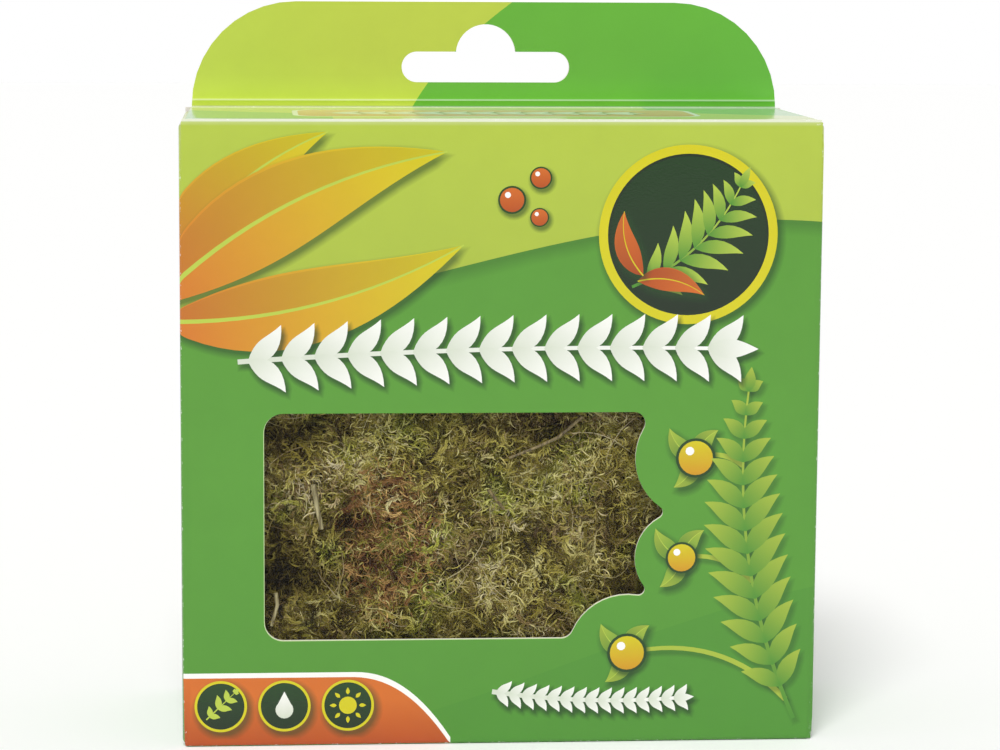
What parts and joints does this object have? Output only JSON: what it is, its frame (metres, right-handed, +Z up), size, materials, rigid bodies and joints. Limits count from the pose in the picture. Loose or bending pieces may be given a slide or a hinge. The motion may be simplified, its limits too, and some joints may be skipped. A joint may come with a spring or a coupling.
{
  "type": "boxed moss clump",
  "caption": "Packed clump of dried terrarium moss in an upright window carton, with a hinged tuck-in lid and a hang tab.",
  "frame": {"origin": "middle of the carton's footprint, on the surface it stands on", "axes": "+Z up, +Y from the window front to the back, +X to the right as seen from the front"},
  "size_m": [0.1142, 0.0446, 0.1327],
  "materials": {
    "printed_board": "folding boxboard, offset printed in greens and varnished",
    "printed_lid": "folding boxboard, offset printed in lime green and varnished",
    "bare_board": "unprinted white inside of folding boxboard",
    "clear_film": "clear window film",
    "moss": "dried preserved moss, olive green and brown",
    "dry_stem": "dry pale grass stem"
  },
  "bodies": {
    "carton": {"front_panel": "printed_board", "left_side_panel": "printed_board", "right_side_panel": "printed_board", "back_panel": "printed_board", "hang_tab": "printed_board", "base_panel": "printed_board", "base_tuck_flap": "bare_board", "base_dust_flap_left": "bare_board", "base_dust_flap_right": "bare_board", "dust_flap_left": "bare_board", "dust_flap_right": "bare_board", "glue_flap": "bare_board", "window_film": "clear_film", "moss_clump": "moss", "dry_stem_upright": "dry_stem", "dry_stem_slanted": "dry_stem", "dry_stem_corner": "dry_stem", "dry_stem_short": "dry_stem"},
    "lid": {"lid_panel": "printed_lid", "tuck_flap": "bare_board"}
  },
  "joints": [
    {"name": "lid_hinge", "type": "hinge", "parent": "carton", "child": "lid", "pos_m": [0, 0.02085, 0.1127], "axis": [-1, 0, 0], "range_deg": [0, 90]}
  ]
}
